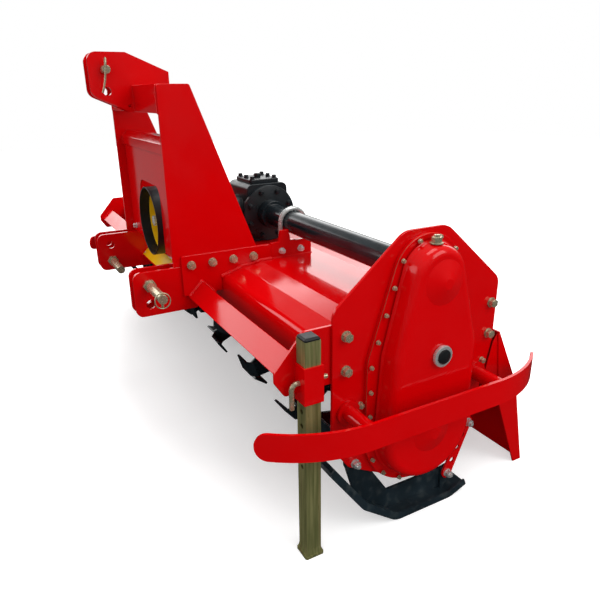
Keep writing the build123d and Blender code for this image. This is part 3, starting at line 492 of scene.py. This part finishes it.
# Gearbox lid and side flange bolts, flange rims and breather, painted over with the casting
lid_face_z, lid_bolt_xs, lid_bolt_ys = 784, (-54, 0, 54), (-44, 44)
flange_root, flange_rim_t, flange_rim_r = 86, 15, 101 * mm
flange_bolts, flange_bolt_r = 8, 84
gearbox_hex = 15 * mm
bm = bmesh.new()
for x in lid_bolt_xs:
    for y in lid_bolt_ys:
        bolt(bm, at(x, drive_y + y, lid_face_z), Z, gearbox_hex)
for side in (1, -1):
    barrel(bm, at(side * flange_root, drive_y, tube_z), X * side, flange_rim_r, flange_rim_t * mm, sides=72,
           bevel=3 * mm)
    for y, z in bolt_circle(flange_bolts, flange_bolt_r, first=22.5):
        bolt(bm, at(side * (flange_root + flange_rim_t), drive_y + y, tube_z + z), X * side, gearbox_hex)
barrel(bm, at(0, drive_y, lid_face_z), Z, radius=13 * mm, height=14 * mm, bevel=3 * mm)
piece(bm, "gearbox_bolts", "black_paint", look=cast_enamel)

# Blade bolts: two through each blade root, with a nut behind the flange
wheels, wheel_pitch, wheel_twist = 9, 219, 23
blades, first_blade = 6, 22
blade_bolt_r, blade_bolt_spread = 76, 11
blade_outer, flange_back = 13 * mm, 5 * mm
blade_hex = 19 * mm
bm = bmesh.new()
for wheel in range(wheels):
    for blade in range(blades):
        lean = 1 if blade % 2 == 0 else -1
        for spread in (-blade_bolt_spread, blade_bolt_spread):
            spoke = radians(first_blade + 360 / blades * blade + wheel_twist * wheel + spread)
            centre = rotor_axis + Vector((wheel_pitch * (wheel - (wheels - 1) / 2), blade_bolt_r * cos(spoke),
                                          blade_bolt_r * sin(spoke))) * mm
            bolt(bm, centre + X * lean * blade_outer, X * lean, blade_hex, washer=False)
            bolt(bm, centre - X * lean * flange_back, -X * lean, blade_hex, washer=False, stud=5 * mm)
piece(bm, "blade_bolts", "black_paint", "rotor")

# Linch pin of the drive-side lower pin, and the spring clip of the upper pin
bm = bmesh.new()
barrel(bm, at(452, -428, 508), Z, radius=4 * mm, height=48 * mm, sides=16, bevel=1 * mm)
hoop(bm, at(458, -428, 531), (X + 0.15 * Z).normalized(), radius=22 * mm, thick=1.8 * mm)
piece(bm, "linch_pin", "yellow_zinc", look=straw_zinc)
clip_line = [at(52, -430, 1140), at(52, -428, 1160), at(54, -427, 1178), at(58, -426, 1183),
             at(66, -427, 1176), at(67, -430, 1150), at(67, -435, 1120), at(67, -441, 1096),
             at(64, -446, 1084)]
wire("spring_clip", clip_line, 3 * mm, straw_zinc)

# Weld beads: bracket to bar and hood, clevis to bar, hitch plates and mast sides to their beams
broad_bead, fine_bead, crest_bead = 8 * mm, 3 * mm, 3.2 * mm
hitch_plate_xs = (36, 26)
clevis_plate_xs = (255, 265, 305)
mast_inner = 305
bm = bmesh.new()
for side in (1, -1):
    x = side * bracket_face
    bead(bm, [at(x, -307, 484), at(x, -267, 524), at(x, -227, 484)], broad_bead)
    bead(bm, [at(x, -197, 530), at(x, -128, 552), at(x, -60, 561), at(x, -24, hood_crest_z)], broad_bead)
    for plate in hitch_plate_xs:
        x = side * plate
        bead(bm, [at(x, -350, 1028), at(x, -350, 1104), at(x, -258, 1105)], fine_bead)
    for plate in clevis_plate_xs:
        x = side * plate
        bead(bm, [at(x, -312, 479), at(x, -282, 509)], fine_bead)
    x = side * mast_inner
    bead(bm, [at(x, -350, 1026), at(x, -350, 1100)], fine_bead)
    bead(bm, [at(x, -326, 905), at(x, -326, 934), at(x, -306, 954)], fine_bead)
bead(bm, [at(bracket_face, -22, hood_crest_z), at(bracket_face, 130, hood_crest_z)], crest_bead)
piece(bm, "weld_beads", "red_paint")

# Blank plate on the upper front face of the bar, held by rivets
plate_size = Vector((370, 54, 2.5)) * mm
rivet_xs, rivet_rises = (-177, 177), (-18, 18)
up_slope = Vector((0, -1, 1)).normalized()
plate_turn = Matrix.Rotation(radians(45), 4, "X")
centre = at(-70, -290, 502)
bm = bmesh.new()
sheet = bmesh.ops.create_cube(bm, size=1, matrix=Matrix.Translation(centre) @ plate_turn
                              @ Matrix.Diagonal((*plate_size, 1)))["verts"]
bmesh.ops.bevel(bm, geom=list({edge for vert in sheet for edge in vert.link_edges}), offset=0.6 * mm,
                offset_type="OFFSET", segments=2, profile=0.5, affect="EDGES", material=-1)
piece(bm, "blank_plate", "yellow_plastic")
bm = bmesh.new()
for x in rivet_xs:
    for rise in rivet_rises:
        foot = centre + plate_turn @ Vector((x, rise, 1)) * mm
        barrel(bm, foot, up_slope, radius=3.2 * mm, height=2 * mm, sides=20, bevel=1 * mm)
piece(bm, "plate_rivets", "bright_zinc")


# Camera at the photo's angle
def aim(azimuth, pitch, roll, location):
    """Camera matrix from its heading, downward pitch and roll in degrees."""
    a, p, r = radians(azimuth), radians(pitch), radians(roll)
    ahead = Vector((-sin(a) * cos(p), cos(a) * cos(p), -sin(p)))
    right = Vector((cos(a), sin(a), 0))
    up = right.cross(ahead)
    across = right * cos(r) + up * sin(r)
    upward = up * cos(r) - right * sin(r)
    turn = Matrix((across, upward, -ahead)).transposed().to_4x4()
    return Matrix.Translation(location) @ turn


camera = bpy.data.objects.new("camera", bpy.data.cameras.new("camera"))
camera.data.lens = 33.6
camera.data.sensor_width = 36
camera.matrix_world = aim(azimuth=61.45, pitch=20.15, roll=-0.8, location=at(1942, -796, 1071))
bpy.context.scene.collection.objects.link(camera)
bpy.context.scene.camera = camera


# Studio: pale floor, white surround and broad soft lamps
def lamp(name, location, target, size, watts):
    """Square soft lamp that faces a target."""
    light = bpy.data.lights.new(name, "AREA")
    light.size = size
    light.energy = watts
    made = bpy.data.objects.new(name, light)
    made.location = location
    made.rotation_mode = "QUATERNION"
    made.rotation_quaternion = (target - location).to_track_quat("-Z", "Y")
    bpy.context.scene.collection.objects.link(made)


middle = (cad_low + cad_high) / 2
lamp("key", middle + Vector((4.6, 2.2, 3.2)), middle, size=3.0, watts=85)
lamp("overhead", middle + Vector((0.0, 0.6, 7.0)), middle, size=4.0, watts=165)

# Surround: white to the eye, an even dome to matt surfaces, and a shaped sky to mirrors
white_level, dome_level = 1.0, 1.12
strip_level, off_strip_level = 2.9, 0.15
horizon_level, zenith_level = 0.06, 0.3
strip_rise, strip_half, strip_fade = 0.31, 0.12, 0.19
world = bpy.data.worlds.new("studio")
world.use_nodes = True
bpy.context.scene.world = world
tree = world.node_tree
tree.nodes.clear()
path = add(tree, "ShaderNodeLightPath").outputs
towards = add(tree, "ShaderNodeSeparateXYZ",
              {0: add(tree, "ShaderNodeTexCoord").outputs["Generated"]}).outputs
# Bright strip of sky low over the far side, for the mirror on deck and tube, over a dark horizon
above = add(tree, "ShaderNodeMath", {0: towards["Z"], 1: strip_rise}, operation="SUBTRACT").outputs[0]
from_strip = add(tree, "ShaderNodeMath", {0: above}, operation="ABSOLUTE").outputs[0]
far_side = add(tree, "ShaderNodeMapRange", {"Value": towards["X"], "From Min": -0.5, "From Max": 0.0,
                                            "To Min": strip_level, "To Max": off_strip_level}).outputs[0]
zenith = add(tree, "ShaderNodeMapRange", {"Value": towards["Z"], "From Min": 0.1, "From Max": 0.4,
                                          "To Min": horizon_level, "To Max": zenith_level}).outputs[0]
strip = add(tree, "ShaderNodeMapRange", {"Value": from_strip, "From Min": strip_half, "From Max": strip_fade,
                                         "To Min": far_side, "To Max": zenith}).outputs[0]
dome = add(tree, "ShaderNodeMix", {0: path["Is Glossy Ray"], 2: dome_level, 3: strip},
           data_type="FLOAT").outputs[0]
strength = add(tree, "ShaderNodeMix", {0: path["Is Camera Ray"], 2: dome, 3: white_level},
               data_type="FLOAT").outputs[0]
backdrop = add(tree, "ShaderNodeBackground", {"Color": colour("#FFFFFF"), "Strength": strength})
add(tree, "ShaderNodeOutputWorld", {"Surface": backdrop.outputs[0]})

floor_half = 12
bm = bmesh.new()
bmesh.ops.create_grid(bm, x_segments=1, y_segments=1, size=floor_half)
floor_mesh = bpy.data.meshes.new("floor")
bm.to_mesh(floor_mesh)
bm.free()
floor = bpy.data.objects.new("floor", floor_mesh)
# Studio floor: white to the eye, grey in its bounce, dark to mirrors but for the far side; its glow to the eye
# fades near the machine, a painted shadow under and round it
painted_shadow_glow, open_glow, painted_reflection_glow = 0.32, 0.7, 0.2
floor_finish, tree, surface, place = finish("studio_floor", Roughness=0.9, Specular_IOR_Level=0)
light_path = add(tree, "ShaderNodeLightPath").outputs
seen = light_path["Is Camera Ray"]
scattered = light_path["Is Diffuse Ray"]
bounce = add(tree, "ShaderNodeMix", {0: scattered, 6: colour("#262626"), 7: colour("#8C8C8C")},
             data_type="RGBA").outputs[2]
shown = add(tree, "ShaderNodeMix", {0: seen, 6: bounce, 7: colour("#E8E8E8")}, data_type="RGBA").outputs[2]
tree.links.new(shown, surface.inputs["Base Color"])
oval = add(tree, "ShaderNodeVectorMath", {0: place, 1: (0.77, 1.33, 0)}, operation="MULTIPLY").outputs[0]
reach = add(tree, "ShaderNodeVectorMath", {0: oval}, operation="LENGTH").outputs["Value"]
# Painted shadow: the floor's glow to the eye drops near the machine, darkening the floor under and round it
glow_with_painted_shadow = add(tree, "ShaderNodeMapRange", {"Value": reach, "From Min": 0.6, "From Max": 1.3,
                                        "To Min": painted_shadow_glow, "To Max": open_glow}).outputs[0]
across = add(tree, "ShaderNodeSeparateXYZ", {0: place}).outputs["X"]
# Painted reflection: a floor patch far off on the far side glows only to mirrors, a pale reflection on the glossy
# paint
far_painted_reflection = add(tree, "ShaderNodeMapRange", {"Value": across, "From Min": -4.0, "From Max": -2.5,
                                            "To Min": painted_reflection_glow, "To Max": 0.0}).outputs[0]
mirrored = add(tree, "ShaderNodeMath", {0: far_painted_reflection, 1: light_path["Is Glossy Ray"]},
               operation="MULTIPLY").outputs[0]
lit = add(tree, "ShaderNodeMix", {0: seen, 2: mirrored, 3: glow_with_painted_shadow}, data_type="FLOAT").outputs[0]
surface.inputs["Emission Color"].default_value = colour("#FFFFFF")
tree.links.new(lit, surface.inputs["Emission Strength"])
floor_mesh.materials.append(floor_finish)
bpy.context.scene.collection.objects.link(floor)

bpy.context.scene.view_settings.view_transform = "Standard"
